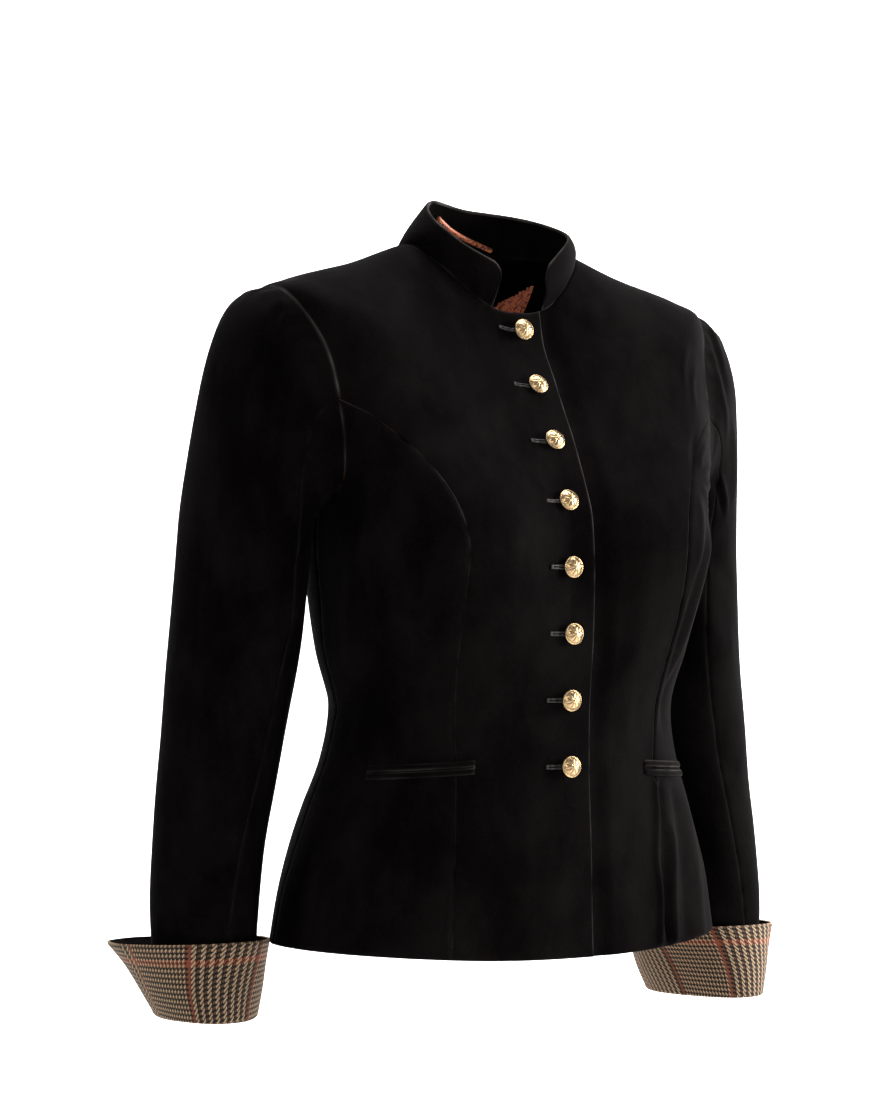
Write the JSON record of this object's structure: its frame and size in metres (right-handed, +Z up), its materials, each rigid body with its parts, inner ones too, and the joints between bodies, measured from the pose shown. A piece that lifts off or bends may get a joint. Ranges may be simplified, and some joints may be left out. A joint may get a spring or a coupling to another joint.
{
  "type": "velvet jacket",
  "caption": "Fitted black velvet jacket with stand collar, eight gilt buttons, jetted pockets and checked turned-back cuffs.",
  "frame": {"origin": "middle of the neck, level with the two points where the shoulder seams meet the collar", "axes": "+Z up, -Y out of the jacket's front, +X towards the wearer's left side"},
  "size_m": [0.5798, 0.262, 0.6319],
  "materials": {
    "velvet": "short dense pile, nearly black, with a soft grey sheen",
    "check": "brushed wool in a cream, dark brown and rust check",
    "lining": "satin, copper coloured",
    "gilt": "polished gilt with darker hollows"
  },
  "bodies": {
    "root": {"back_left": "velvet", "back_lining_left": "lining", "back_lining_right": "lining", "back_right": "velvet", "button_1": "gilt", "button_2": "gilt", "button_3": "gilt", "button_4": "gilt", "button_5": "gilt", "button_6": "gilt", "button_7": "gilt", "button_8": "gilt", "collar": "velvet", "cuff_left": "check", "cuff_right": "check", "front_left": "velvet", "front_right": "velvet", "hanger_loop": "lining", "pocket_lower_lip_left": "velvet", "pocket_lower_lip_right": "velvet", "pocket_upper_lip_left": "velvet", "pocket_upper_lip_right": "velvet", "side_back_left": "velvet", "side_back_right": "velvet", "side_front_left": "velvet", "side_front_right": "velvet", "top_sleeve_left": "velvet", "top_sleeve_right": "velvet", "under_sleeve_left": "velvet", "under_sleeve_right": "velvet"}
  },
  "joints": []
}
